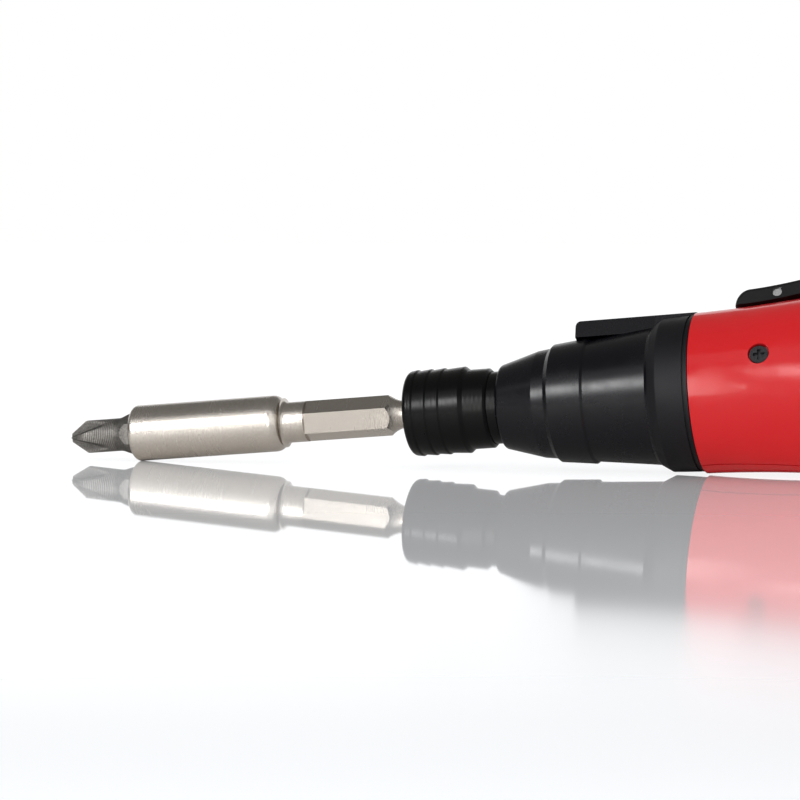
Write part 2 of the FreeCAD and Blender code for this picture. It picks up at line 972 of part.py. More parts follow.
def make_motor_plate():
    plate = rod(motor_plate_radius, plate_front_x, motor_face_x)
    plate = plate.cut(rod(motor_boss_radius + slip, plate_front_x - over, motor_face_x + over))
    for side in (-1, 1):
        plate = plate.cut(motor_screw(side, slip))
    return plate


def motor_screw(side, gap):
    """Countersunk screw from the gear side into the motor's front."""
    depth = motor_screw_head - motor_screw_radius
    tip = plate_front_x + motor_screw_length
    body = turned([
        (plate_front_x, 0),
        (plate_front_x, motor_screw_head + gap),
        (plate_front_x + depth, motor_screw_radius + gap),
        (tip + gap, motor_screw_radius + gap),
        (tip + gap, 0),
    ])
    body.translate(Vector(0, 0, side * motor_screw_circle))
    return body


def make_motor_screws():
    return Part.makeCompound([motor_screw(side, 0) for side in (-1, 1)])


# Motor

def make_motor_can():
    body = rod(motor_radius, motor_face_x, motor_rear_x)
    body = body.cut(rod(motor_radius - can_wall, motor_face_x + can_front, motor_rear_x + over))
    boss = rod(motor_boss_radius, motor_face_x - motor_boss_length, motor_face_x + can_front)
    body = body.fuse(boss).removeSplitter()
    hole_start = motor_face_x - motor_boss_length - over
    hole = rod(motor_bush_radius + slip, hole_start, motor_face_x + can_front + over)
    body = body.cut(hole)
    for side in (-1, 1):
        body = body.cut(motor_screw(side, slip))
    return body


def magnet_outer():
    return motor_radius - can_wall - slip


def core_radius():
    return magnet_outer() - magnet_thickness - air_gap


def make_motor_magnets():
    start = motor_face_x + core_set - winding_overhang / 2
    end = motor_face_x + core_set + core_length + winding_overhang / 2
    ring = tube(magnet_outer(), magnet_outer() - magnet_thickness, start, end)
    half = math.radians(magnet_half_angle)
    reach = 2 * motor_radius
    points = [
        Vector(start - over, 0, 0),
        Vector(start - over, reach * math.cos(half), -reach * math.sin(half)),
        Vector(start - over, reach * math.cos(half), reach * math.sin(half)),
    ]
    wedge = Part.Face(Part.makePolygon(points + points[:1])).extrude(Vector(end - start + 2 * over, 0, 0))
    return Part.makeCompound([ring.common(spun(wedge, angle)).Solids[0] for angle in (0, full_turn / 2)])


def core_slot(width, floor, start, end):
    return block(start, end, -width / 2, width / 2, floor, motor_radius)


def make_armature_core():
    start = motor_face_x + core_set
    end = start + core_length
    body = tube(core_radius(), motor_shaft_radius + slip, start, end)
    for index in range(core_slots):
        slot = core_slot(core_slot_width, core_slot_floor, start - over, end + over)
        body = body.cut(spun(slot, full_turn * index / core_slots))
    return body


def make_armature_winding():
    start = motor_face_x + core_set
    end = start + core_length
    inner = motor_shaft_radius + 2 * slip
    outer = core_radius() - air_gap
    width = core_slot_width - 2 * winding_gap
    pieces = []
    for index in range(core_slots):
        wire = core_slot(width, core_slot_floor + winding_gap, start - over, end + over)
        pieces.append(spun(wire, full_turn * index / core_slots))
    bundle = pieces[0].multiFuse(pieces[1:]).common(rod(outer, start - over, end + over))
    ends = []
    for face, side in ((start, -1), (end, 1)):
        near = face + side * winding_gap
        far = face + side * winding_overhang
        ends.append(turned([
            (near, inner),
            (near, outer),
            (far, outer, winding_edge),
            (far, inner),
        ]))
    return fused([ends[0], ends[1], bundle])


def commutator_start():
    return motor_face_x + core_set + core_length + winding_overhang + commutator_set


def make_commutator():
    start = commutator_start()
    return tube(commutator_radius, motor_shaft_radius + slip, start, start + commutator_length)


def brush_block(side, inner, outer, half_width, front, rear):
    low = min(side * inner, side * outer)
    high = max(side * inner, side * outer)
    return block(front, rear, low, high, -half_width, half_width)


def make_motor_brushes():
    middle = commutator_start() + commutator_length / 2
    inner = commutator_radius + run
    return Part.makeCompound([
        brush_block(side, inner, inner + brush_length, brush_width / 2,
                    middle - brush_depth / 2, middle + brush_depth / 2)
        for side in (-1, 1)])


def make_motor_end_bell():
    outer = motor_radius - can_wall - slip
    bell_front = motor_rear_x - bell_thickness
    plate = rod(outer, bell_front, motor_rear_x)
    boss = rod(motor_boss_radius, motor_rear_x - slip, motor_rear_x + motor_boss_length)
    middle = commutator_start() + commutator_length / 2
    inner = commutator_radius + run + brush_length + slip
    arms = [brush_block(side, inner, inner + brush_arm, brush_width,
                        middle - brush_depth / 2, bell_front + slip)
            for side in (-1, 1)]
    body = fused([plate, boss] + arms)
    hole = rod(motor_bush_radius + slip, bell_front - over, motor_rear_x + motor_boss_length + over)
    return body.cut(hole)


def make_motor_bushes():
    front = tube(motor_bush_radius, motor_shaft_radius + run,
                 motor_face_x - motor_boss_length, motor_face_x + can_front)
    rear = tube(motor_bush_radius, motor_shaft_radius + run,
                motor_rear_x - bell_thickness, motor_rear_x + motor_boss_length)
    return Part.makeCompound([front, rear])


def make_motor_shaft():
    return rod(motor_shaft_radius, first_planet_front_x, motor_rear_x + motor_boss_length)


def make_motor_pinion():
    end = motor_face_x - motor_boss_length - play
    gear = outer_gear(sun_teeth, 0, first_planet_front_x, end)
    return gear.cut(rod(motor_shaft_radius + slip, first_planet_front_x - over, end + over))


# Handle form

def eased(share):
    return share * share * (3 - 2 * share)


def flat_radius(x):
    """Radius of the handle's flats at x."""
    if x <= belly_at:
        share = x / belly_at
        swell = (belly_radius - joint_radius) * eased(share)
        return joint_radius + swell + front_slope * belly_at * share * (1 - share) ** 2
    length = tail_at - belly_at
    share = (x - belly_at) / length
    fall = (belly_radius - tail_radius) * eased(share)
    return belly_radius - fall + tail_slope * length * share ** 2 * (1 - share)


def corner_rise(x):
    share = min(1, max(0, (x - round_until) / (hexagon_from - round_until)))
    return flat_radius(x) * corner_share * eased(share)


def top_height(x):
    """Height of the handle's top edge above the axis."""
    return flat_radius(x) + corner_rise(x)


def handle_radius(x, angle):
    """Radius of the handle at x, with the angle counted from the middle of a flat."""
    bulge = (1 - math.cos(hexagon_sides * angle)) / 2
    return flat_radius(x) + corner_rise(x) * bulge


def handle_section(x, inset):
    points = []
    for index in range(section_points):
        angle = math.radians(full_turn * index / section_points)
        points.append(polar(handle_radius(x, angle) - inset, angle, x))
    curve = Part.BSplineCurve()
    curve.interpolate(Points=points, PeriodicFlag=True)
    return Part.Wire(curve.toShape())


def handle_sections(inset, start, end):
    count = max(least_sections, math.ceil((end - start) / section_pitch) + 1)
    step = (end - start) / (count - 1)
    return [handle_section(start + step * index, inset) for index in range(count)]


def handle_form(inset, start, end):
    """Solid of the handle's outside, drawn in by inset."""
    return Part.makeLoft(handle_sections(inset, start, end), True)


def handle_skin(outer_inset, inner_inset, start, end):
    """Open tube between two depths below the handle's outside."""
    outer = handle_sections(outer_inset, start, end)
    inner = handle_sections(inner_inset, start, end)
    faces = Part.makeLoft(outer, False).Faces + Part.makeLoft(inner, False).Faces
    for place in (0, -1):
        faces.append(Part.makeFace([outer[place], inner[place]], "Part::FaceMakerBullseye"))
    shell = Part.makeShell(faces)
    shell.sewShape()
    solid = Part.makeSolid(shell)
    return solid if solid.Volume > 0 else solid.reversed()


def side_reach():
    return 2 * belly_radius


def grip_plan():
    """Side view of a grip pad."""
    return [(case_length * x_share, belly_radius * z_share, grip_corner)
            for x_share, z_share in zip(grip_x_shares, grip_z_shares)]


def make_grips():
    """Pads of both sides, with cross grooves in their outside."""
    start = case_length * min(grip_x_shares) - over
    end = case_length * max(grip_x_shares) + over
    plan = slab(grip_plan(), -side_reach(), side_reach())
    pads = handle_skin(0, grip_depth - slip, start, end).common(plan)
    first = start + over + grip_groove_margin
    last = end - over - grip_groove_margin
    step = (last - first) / (grip_groove_count - 1)
    grooves = []
    for index in range(grip_groove_count):
        groove_start = first + step * index - grip_groove_width / 2
        grooves.append(handle_skin(-over, grip_groove_depth, groove_start, groove_start + grip_groove_width))
    return pads.cut(grooves)


def one_side(shape, side):
    """The half of a shape on one side of the seam: -1 for left, 1 for right."""
    low = min(0, side * side_reach())
    high = max(0, side * side_reach())
    half = block(-tail_at, 2 * tail_at, low, high, -side_reach(), side_reach())
    return shape.common(half)


def lever_pivot_z():
    return top_height(pivot_at) + pivot_rise


def make_housing():
    """Both halves of the handle in one, before they are parted at the seam."""
    middle = handle_form(case_wall / 2, over, case_length - over)
    collar = handle_form(case_wall / 2, 0, plate_front_x)
    body = handle_skin(0, case_wall, 0, case_length).fuse(collar)
    body = body.cut(rod(collar_radius, -over, plate_front_x + over))
    added = []
    for place in motor_rib_places:
        start = place - rib_width / 2
        rib = block(start, start + rib_width, -side_reach(), side_reach(), -side_reach(), side_reach())
        added.append(rib.cut(rod(motor_radius + slip, start - over, start + rib_width + over)))
    for place in cell_rib_places:
        start = place - rib_width / 2
        rib = block(start, start + rib_width, -side_reach(), side_reach(), -side_reach(), board_bottom - slip)
        added.append(rib.cut(rod(cell_radius + slip, start - over, start + rib_width + over)))
    for x, z in post_places:
        added.append(cross_rod(post_radius, x, z, -side_reach(), side_reach()))
    added = Part.makeCompound(added).common(middle).Solids
    lug_foot = flat_radius(pivot_at) - case_wall / 2
    lug = block(pivot_at - lug_radius, pivot_at + lug_radius, -lug_half_width, lug_half_width,
                lug_foot, lever_pivot_z())
    added.append(lug.fuse(cross_rod(lug_radius, pivot_at, lever_pivot_z(), -lug_half_width, lug_half_width)))
    body = body.multiFuse(added)
    cuts = [cross_rod(lever_pin_radius + slip, pivot_at, lever_pivot_z(), -side_reach(), side_reach())]
    screw_end = case_screw_length - case_screw_seat + play
    recess = case_screw_head_radius + screw_recess_gap
    for x, z in post_places:
        cuts.append(cross_rod(case_screw_radius + slip, x, z, -side_reach(), screw_end))
        cuts.append(cross_rod(recess, x, z, -side_reach(), -case_screw_seat))
    for side in (-1, 1):
        cuts.append(front_screw_hole(side, front_screw_radius + slip))
        far = side * side_reach()
        seat = side * (collar_radius + front_screw_seat)
        cuts.append(cross_rod(front_recess_radius, front_screw_at, -front_screw_drop,
                              min(seat, far), max(seat, far)))
        for index in range(vent_count):
            start = vent_first + vent_pitch * index
            near = side * (motor_radius + over)
            cuts.append(block(start, start + vent_width, min(near, far), max(near, far),
                              -vent_half_height, vent_half_height))
    cuts.append(upright(peg_radius + peg_gap, peg_at, 0, board_top, side_reach()))
    pocket = lever_spring_radius + lever_wire / 2 + spring_pocket_gap
    pocket_floor = top_height(lever_spring_at) - case_pocket
    cuts.append(upright(pocket, lever_spring_at, 0, pocket_floor, side_reach()))
    slot = stem_half_length + slider_travel + play
    slot_side = stem_half_width + shown_gap
    cuts.append(block(slider_at - slot, slider_at + slot, -slot_side, slot_side, board_top, side_reach()))
    seam = handle_skin(-over, seam_depth, -over, case_length + over)
    upper = block(pivot_at + lug_radius, case_length + over, -seam_width / 2, seam_width / 2, 0, side_reach())
    lower = block(-over, case_length + over, -seam_width / 2, seam_width / 2, -side_reach(), 0)
    cuts.append(seam.common(Part.makeCompound([upper, lower])))
    plan = slab(grip_plan(), -side_reach(), side_reach())
    grip_start = case_length * min(grip_x_shares) - over
    grip_end = case_length * max(grip_x_shares) + over
    cuts.append(handle_skin(-over, grip_depth, grip_start, grip_end).common(plan))
    return body.cut(cuts)


# Screws of the handle

def cross_screw(radius, head_radius, head, length):
    """Pan-head screw along +Y with its seat at the origin and a cross recess."""
    body = cross_rod(radius, 0, 0, 0, length).fuse(cross_rod(head_radius, 0, 0, -head, 0)).removeSplitter()
    half = head_radius * screw_slot_reach_share
    slot = screw_slot_width / 2
    floor = -head + head * screw_slot_depth_share
    body = body.cut(block(-half, half, -head - over, floor, -slot, slot))
    return body.cut(block(-slot, slot, -head - over, floor, -half, half))


def make_case_screws():
    screws = []
    for x, z in post_places:
        screw = cross_screw(case_screw_radius, case_screw_head_radius, case_screw_head, case_screw_length)
        screw.translate(Vector(x, -case_screw_seat - slip, z))
        screws.append(screw)
    return Part.makeCompound(screws)


def make_front_screws():
    seat = collar_radius + front_screw_seat + slip
    tip = ring_gear_radius - front_screw_radius + front_screw_stop
    screws = []
    for turn in (0, full_turn / 2):
        screw = cross_screw(front_screw_radius, front_screw_head_radius, front_screw_head, seat - tip)
        screw.translate(Vector(0, -seat, 0))
        screw.rotate(ORIGIN, Z, turn)
        screw.translate(Vector(front_screw_at, 0, -front_screw_drop))
        screws.append(screw)
    return Part.makeCompound(screws)


# Start lever

def lever_underside(x):
    sweep = max(0, x - pivot_at) * math.tan(math.radians(lever_angle + lever_spare_angle))
    return top_height(x) + lever_lift + sweep


def lever_topside(x):
    share = min(1, (x - lever_front) / lever_nose)
    return lever_underside(x) + lever_thickness * math.sqrt(1 - (1 - share) ** 2)


def spline(points):
    curve = Part.BSplineCurve()
    curve.interpolate(Points=points)
    return curve.toShape()


def make_start_lever():
    step = (lever_end - lever_front) / (lever_stations - 1)
    under = [lever_front + step * index for index in range(lever_stations)]
    nose_step = lever_nose / (lever_stations - 1)
    nose = []
    for index in range(lever_stations):
        nose.append(lever_front + nose_step * index * index / (lever_stations - 1))
    back_step = (lever_end - lever_front - lever_nose) / (lever_stations - 1)
    back = [lever_front + lever_nose + back_step * index for index in range(lever_stations)]
    side = -lever_half_width
    low = spline([Vector(x, side, lever_underside(x)) for x in under])
    front = spline([Vector(x, side, lever_topside(x)) for x in nose])
    high = spline([Vector(x, side, lever_topside(x)) for x in back])
    end = Part.makeLine(Vector(lever_end, side, lever_topside(lever_end)),
                        Vector(lever_end, side, lever_underside(lever_end)))
    wire = Part.Wire(Part.__sortEdges__([front, high, end, low]))
    body = Part.Face(wire).extrude(Vector(0, 2 * lever_half_width, 0))
    top_edges = []
    for edge in body.Edges:
        box = edge.BoundBox
        along = abs(abs(box.Center.y) - lever_half_width) < tiny and box.YLength < tiny
        over_middle = box.Center.z > lever_underside(box.Center.x) + lever_thickness / 2
        if along and over_middle and box.XLength > lever_nose / 2:
            top_edges.append(edge)
    body = body.makeFillet(lever_edge, top_edges)
    slot = lug_radius + lug_gap
    slot_side = lug_half_width + lug_gap
    body = body.cut(block(pivot_at - slot, pivot_at + slot, -slot_side, slot_side, 0, side_reach()))
    body = body.cut(cross_rod(lever_pin_radius + run, pivot_at, lever_pivot_z(), -side_reach(), side_reach()))
    pocket = lever_spring_radius + lever_wire / 2 + spring_pocket_gap
    body = body.cut(upright(pocket, lever_spring_at, 0, 0, lever_underside(lever_spring_at) + lever_pocket))
    peg = upright(peg_radius, peg_at, 0, plunger_top() + slip, lever_underside(peg_at) + lever_thickness / 2)
    return body.fuse(peg).removeSplitter()


def make_lever_pin():
    half = lever_half_width - play
    return cross_rod(lever_pin_radius, pivot_at, lever_pivot_z(), -half, half)


def make_lever_spring():
    floor = top_height(lever_spring_at) - case_pocket + slip
    roof = lever_underside(lever_spring_at) + lever_pocket - slip
    spring = coil(lever_wire, lever_spring_radius, floor, roof, lever_spring_turns)
    spring.rotate(ORIGIN, Y, -full_turn / 4)
    spring.translate(Vector(lever_spring_at, 0, 0))
    return spring


# Cell, boards and switches

def make_battery_cell():
    body = turned([
        (cell_front_x, 0),
        (cell_front_x, cell_radius, cell_edge),
        (cell_rear_x, cell_radius, cell_edge),
        (cell_rear_x, 0),
    ])
    button = rod(cell_button_radius, cell_front_x - cell_button, cell_front_x + slip)
    return body.fuse(button).removeSplitter()


def make_control_board():
    board = block(board_front_x, board_front_x + board_length, -board_half_width, board_half_width,
                  board_bottom, board_top)
    pieces = [board]
    for side in (-1, 1):
        start = board_front_x + chip_set
        middle = side * chip_side
        half = chip_size / 2 - slip
        pieces.append(block(start, start + chip_size, middle - half, middle + half,
                            board_top + slip, board_top + chip_height))
    pieces.append(upright(capacitor_radius, board_front_x + capacitor_set, 0,
                          board_top + slip, board_top + capacitor_height))
    return Part.makeCompound(pieces)


def switch_top():
    return top_height(peg_at) - case_wall - switch_top_gap


def plunger_top():
    return switch_top() + plunger_proud


def plunger_stroke():
    return (peg_at - pivot_at) * math.tan(math.radians(lever_angle))


def plunger_floor():
    return switch_top() - plunger_depth


def make_start_switch():
    half = switch_length / 2
    body = block(peg_at - half, peg_at + half, -switch_half_width, switch_half_width,
                 board_top + slip, switch_top())
    well = upright(plunger_radius + run, peg_at, 0, plunger_floor() - slip, switch_top() + over)
    wider_floor = plunger_top() - plunger_stroke() - play
    wider = upright(peg_radius + peg_gap, peg_at, 0, wider_floor, switch_top() + over)
    return body.cut(well).cut(wider)


def make_switch_plunger():
    return upright(plunger_radius, peg_at, 0, plunger_floor() + plunger_stroke(), plunger_top())


def make_direction_switch():
    body = block(slider_at - direction_switch_half_length, slider_at + direction_switch_half_length,
                 -direction_switch_half_width, direction_switch_half_width,
                 board_top + slip, board_top + direction_switch_height)
    slot = stem_half_length + slider_travel + play
    top = board_top + direction_switch_height
    return body.cut(block(slider_at - slot, slider_at + slot, -stem_half_width - run, stem_half_width + run,
                          top - stem_depth - play, top + over))


def make_direction_slider():
    low = top_height(slider_at - slider_cover_half_length) + slider_lift
    cover = block(slider_at - slider_half_length, slider_at + slider_half_length,
                  -slider_half_width, slider_half_width, low, low + slider_cover)
    stem_foot = board_top + direction_switch_height - stem_depth
    pieces = [cover, block(slider_at - stem_half_length, slider_at + stem_half_length,
                           -stem_half_width, stem_half_width, stem_foot, low + slip)]
    for index in range(slider_rib_count):
        middle = slider_at + slider_rib_pitch * (index - (slider_rib_count - 1) / 2)
        half = slider_rib / 2
        pieces.append(block(middle - half, middle + half, -slider_half_width, slider_half_width,
                            low + slider_cover - slip, low + slider_cover + slider_rib))
    return fused(pieces)


def make_motor_leads():
    leads = []
    turn_x = motor_rear_x + lead_turn
    top = board_top + lead_radius + slip
    for side in (-1, 1):
        y = side * lead_side
        up = Vector(turn_x, y, lead_height)
        bend = lead_bend
        corner = bend - bend / math.sqrt(2)
        edges = [
            Part.makeLine(Vector(motor_rear_x + slip, y, lead_height), up - X * bend),
            Part.Arc(up - X * bend, up + Z * corner - X * corner, up + Z * bend).toShape(),
        ]
        down = Vector(turn_x, y, top)
        edges += [
            Part.makeLine(up + Z * bend, down - Z * bend),
            Part.Arc(down - Z * bend, down - Z * corner + X * corner, down + X * bend).toShape(),
            Part.makeLine(down + X * bend, Vector(board_front_x + lead_landing, y, top)),
        ]
        ring = Part.Wire(Part.makeCircle(lead_radius, Vector(motor_rear_x + slip, y, lead_height), X))
        leads.append(Part.Wire(edges).makePipeShell([ring], True, False))
    return Part.makeCompound(leads)


# End cap and charging socket

def rounded_bar(half_width, half_height, corner, middle, start, end):
    return bar([
        (-half_width, middle - half_height, corner),
        (half_width, middle - half_height, corner),
        (half_width, middle + half_height, corner),
        (-half_width, middle + half_height, corner),
    ], start, end)


def charge_board_top():
    return socket_rise - socket_half_height - slip


def make_end_cap():
    start = case_length + shown_gap
    outer = handle_form(0, start, tail_at)
    rear = [edge for edge in outer.Edges if edge.BoundBox.XMin > tail_at - over]
    outer = outer.makeFillet(cap_rim, rear)
    body = outer.cut(handle_form(cap_wall, start - over, tail_at - cap_end_wall))
    inset = case_wall + slip
    spigot = handle_skin(inset, inset + spigot_wall, case_length - spigot_length, start + cap_wall)
    shelf_end = tail_at - cap_end_wall + slip
    shelf_top = charge_board_top() - charge_board_thickness - slip
    shelf = block(shelf_end - shelf_length, shelf_end, -side_reach(), side_reach(),
                  shelf_top - shelf_thickness, shelf_top)
    shelf = shelf.common(handle_form(cap_wall / 2, start, tail_at))
    tab_z = -tab_drop
    tab_end = tail_at + tab_reach - tab_radius
    tab = slab([
        (tail_at - tab_root, tab_z - tab_radius),
        (tab_end, tab_z - tab_radius),
        (tab_end, tab_z + tab_radius),
        (tail_at - tab_root, tab_z + tab_radius),
    ], -tab_half_width, tab_half_width)
    tip = cross_rod(tab_radius, tab_end, tab_z, -tab_half_width, tab_half_width)
    body = body.multiFuse([spigot, shelf, tab, tip])
    body = body.cut(cross_rod(tab_hole_radius, tab_end, tab_z, -side_reach(), side_reach()))
    port = rounded_bar(socket_half_width + slip, socket_half_height + slip, socket_corner, socket_rise,
                       tail_at - socket_depth, tail_at + over)
    return body.cut(port)


def make_charge_socket():
    start = tail_at - socket_depth
    body = rounded_bar(socket_half_width, socket_half_height, socket_corner, socket_rise, start, tail_at)
    hollow = rounded_bar(socket_half_width - socket_wall, socket_half_height - socket_wall,
                         socket_corner - socket_wall, socket_rise, start + socket_floor, tail_at + over)
    tongue = block(start + slip, tail_at - tongue_set, -tongue_half_width, tongue_half_width,
                   socket_rise - tongue_half_height, socket_rise + tongue_half_height)
    return body.cut(hollow).fuse(tongue).removeSplitter()


def make_charge_board():
    end = tail_at - cap_end_wall - slip
    top = charge_board_top()
    return block(end - charge_board_length, end, -charge_board_half_width, charge_board_half_width,
                 top - charge_board_thickness, top)


# Rest pose: rolled onto a flat of the handle, then tipped until the holder's rim touches too

def lying_depth(x):
    """How far the handle reaches below its axis at x when it lies on a flat."""
    widest = math.radians(full_turn / hexagon_sides / 2)
    angles = [widest * index / rest_samples for index in range(rest_samples + 1)]
    return max(handle_radius(x, angle) * math.cos(angle) for angle in angles)


def rest_pitch():
    steepest = 0
    rim_x = mouth_x + barrel_rim
    for index in range(rest_samples + 1):
        x = case_length * index / rest_samples
        steepest = max(steepest, math.atan2(lying_depth(x) - barrel_radius, x - rim_x))
    return steepest


def rest_turn():
    matrix = Matrix()
    matrix.rotateX(-math.radians(rest_roll))
    matrix.rotateY(-rest_pitch())
    return matrix


def rest_matrix(shapes):
    """Lays the tool down with the middle of its box over the origin and its lowest point at z = 0."""
    laid = Part.makeCompound([shape.transformed(rest_turn(), copy=True) for shape in shapes])
    box = laid.optimalBoundingBox(False, False)
    matrix = rest_turn()
    matrix.move(Vector(-box.Center.x, -box.Center.y, -box.ZMin))
    return matrix


def make_pieces():
    pieces = {
        "driver_bit": make_driver_bit(),
        "bit_holder": make_bit_holder(),
        "holder_magnet": make_holder_magnet(),
        "holder_clip": make_holder_clip(),
        "chuck_sleeve": make_chuck_sleeve(),
        "chuck_spring": make_chuck_spring(),
        "locking_balls": make_locking_balls(),
        "chuck_snap_ring": make_chuck_snap_ring(),
        "output_spindle": make_output_spindle(),
        "spindle_clip": make_spindle_clip(),
        "front_bush": make_front_bush(),
        "bearing_outer_race": make_bearing_outer_race(),
        "bearing_inner_race": make_bearing_inner_race(),
        "bearing_balls": make_bearing_balls(),
        "bearing_cage": make_bearing_cage(),
        "nose_cone": make_nose_cone(),
        "lamp_lens": make_lamp_lens(),
        "lamp_board": make_lamp_board(),
        "ring_gear": make_ring_gear(),
        "carrier_1": make_carrier_1(),
        "carrier_1_pins": make_carrier_pins(first_carrier_front_x, first_planet_rear_x),
        "carrier_2": make_carrier_2(),
        "carrier_2_pins": make_carrier_pins(second_carrier_front_x, second_planet_rear_x),
        "motor_plate": make_motor_plate(),
        "motor_screws": make_motor_screws(),
        "motor_can": make_motor_can(),
        "motor_magnets": make_motor_magnets(),
        "armature_core": make_armature_core(),
        "armature_winding": make_armature_winding(),
        "commutator": make_commutator(),
        "motor_brushes": make_motor_brushes(),
        "motor_end_bell": make_motor_end_bell(),
        "motor_bushes": make_motor_bushes(),
        "motor_shaft": make_motor_shaft(),
        "motor_pinion": make_motor_pinion(),
        "motor_leads": make_motor_leads(),
        "case_screws": make_case_screws(),
        "front_screws": make_front_screws(),
        "start_lever": make_start_lever(),
        "lever_pin": make_lever_pin(),
        "lever_spring": make_lever_spring(),
        "start_switch": make_start_switch(),
        "switch_plunger": make_switch_plunger(),
        "direction_switch": make_direction_switch(),
        "direction_slider": make_direction_slider(),
        "battery_cell": make_battery_cell(),
        "control_board": make_control_board(),
        "end_cap": make_end_cap(),
        "charge_socket": make_charge_socket(),
        "charge_board": make_charge_board(),
    }
    for index, letter in enumerate("abc"):
        pieces["planet_1" + letter] = make_planet(index, first_planet_front_x, first_planet_rear_x)
        pieces["planet_2" + letter] = make_planet(index, second_planet_front_x, second_planet_rear_x)
    housing = make_housing()
    grips = make_grips()
    for name, side in (("left", -1), ("right", 1)):
        pieces["housing_" + name] = one_side(housing, side)
        pieces["grip_" + name] = one_side(grips, side)
    return pieces


def main():
    os.makedirs("parts", exist_ok=True)
    pieces = make_pieces()
    matrix = rest_matrix(pieces.values())
    for name, shape in pieces.items():
        laid = shape.transformed(matrix, copy=True)
        sound = laid.isValid()
        print(name, "solids", len(laid.Solids), "volume", round(laid.Volume, 2), "" if sound else "NOT VALID")
        laid.exportStep("parts/" + name + ".step")


if __name__ == "__main__":
    main()
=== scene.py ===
import json
import math
import bpy
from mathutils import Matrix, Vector


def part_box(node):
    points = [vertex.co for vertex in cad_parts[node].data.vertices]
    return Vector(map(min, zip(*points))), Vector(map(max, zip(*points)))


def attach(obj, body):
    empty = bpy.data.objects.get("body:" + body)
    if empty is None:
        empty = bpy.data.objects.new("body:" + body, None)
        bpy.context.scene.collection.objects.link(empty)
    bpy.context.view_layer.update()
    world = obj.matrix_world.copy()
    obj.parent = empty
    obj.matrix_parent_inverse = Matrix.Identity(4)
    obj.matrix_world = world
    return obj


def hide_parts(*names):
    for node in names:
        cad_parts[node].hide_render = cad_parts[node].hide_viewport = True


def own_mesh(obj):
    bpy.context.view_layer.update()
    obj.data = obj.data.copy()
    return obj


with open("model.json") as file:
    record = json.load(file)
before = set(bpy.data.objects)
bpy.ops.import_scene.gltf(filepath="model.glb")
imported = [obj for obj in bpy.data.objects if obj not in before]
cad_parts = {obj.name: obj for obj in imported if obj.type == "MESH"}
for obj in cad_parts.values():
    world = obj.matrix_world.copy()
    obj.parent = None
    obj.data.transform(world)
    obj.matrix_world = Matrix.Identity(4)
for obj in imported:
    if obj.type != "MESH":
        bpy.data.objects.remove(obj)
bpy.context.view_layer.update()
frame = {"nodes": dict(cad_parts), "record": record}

record = frame["record"]
joints = {joint["name"]: joint for joint in record["behaviour"]["joints"]}
MM = 0.001

# The tool's own directions and a point on its axis, from its joints
ALONG = Vector(joints["output_spin"]["axis"]).normalized()
ACROSS = Vector(joints["lever_press"]["axis"]).normalized()
UPWARD = ALONG.cross(ACROSS).normalized()
AXIS_POINT = Vector(joints["output_spin"]["pos_m"])

# Places along that axis: the bit's point, the front of the holder's hexagonal shank, the step behind the nose
BIT_TIP = -118.0 * MM
SHANK_FRONT = -73.0 * MM
NOSE_STEP = -7.2 * MM


class Value:
    """A number that varies over a surface, for writing shader sums as plain expressions."""

    def __init__(self, finish, socket):
        self.finish = finish
        self.socket = socket

    def sum_with(self, operation, first, second):
        return self.finish.node("Math", {"operation": operation}, {0: first, 1: second})

    def __add__(self, other):
        return self.sum_with("ADD", self, other)

    def __radd__(self, other):
        return self.sum_with("ADD", other, self)

    def __sub__(self, other):
        return self.sum_with("SUBTRACT", self, other)

    def __rsub__(self, other):
        return self.sum_with("SUBTRACT", other, self)

    def __mul__(self, other):
        return self.sum_with("MULTIPLY", self, other)

    def __rmul__(self, other):
        return self.sum_with("MULTIPLY", other, self)

    def __truediv__(self, other):
        return self.sum_with("DIVIDE", self, other)

    def __rtruediv__(self, other):
        return self.sum_with("DIVIDE", other, self)


